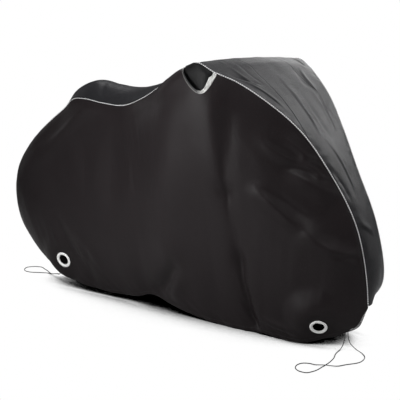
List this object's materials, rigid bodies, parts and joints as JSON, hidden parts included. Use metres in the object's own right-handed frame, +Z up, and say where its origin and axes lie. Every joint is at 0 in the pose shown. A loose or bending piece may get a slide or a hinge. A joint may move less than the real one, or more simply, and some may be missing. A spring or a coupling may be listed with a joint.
{
  "type": "bicycle cover",
  "caption": "Fitted dark cloth cover in the shape of a bicycle, with piped seams, hooded vents, eyelets and loops of cord at the hem.",
  "frame": {"origin": "middle of the cover's length and width, on the floor under it", "axes": "+X towards the covered bicycle's front wheel, +Y towards its left side, +Z up"},
  "size_m": [2.0712, 0.7594, 1.0876],
  "materials": {
    "side_cloth": "matt coated polyester",
    "top_cloth": "matt coated polyester",
    "dark_cloth": "matt coated polyester",
    "piping": "reflective corded piping",
    "tape": "satin woven tape",
    "ring": "moulded plastic, soft gloss",
    "cord": "braided, matt"
  },
  "bodies": {
    "root": {"centre_panel": "top_cloth", "cord_loop_front": "cord", "cord_loop_tail": "cord", "eyelet_ring_front_far": "ring", "eyelet_ring_front_near": "ring", "eyelet_ring_tail_far": "ring", "eyelet_ring_tail_near": "ring", "eyelet_strip_front_far": "side_cloth", "eyelet_strip_front_near": "side_cloth", "eyelet_strip_tail_far": "side_cloth", "eyelet_strip_tail_near": "side_cloth", "gusset_far": "top_cloth", "gusset_near": "top_cloth", "piping_far": "piping", "piping_near": "piping", "side_far": "side_cloth", "side_near": "side_cloth", "vent_cloth_far": "dark_cloth", "vent_cloth_near": "dark_cloth", "vent_tape_far": "tape", "vent_tape_near": "tape"}
  },
  "joints": []
}
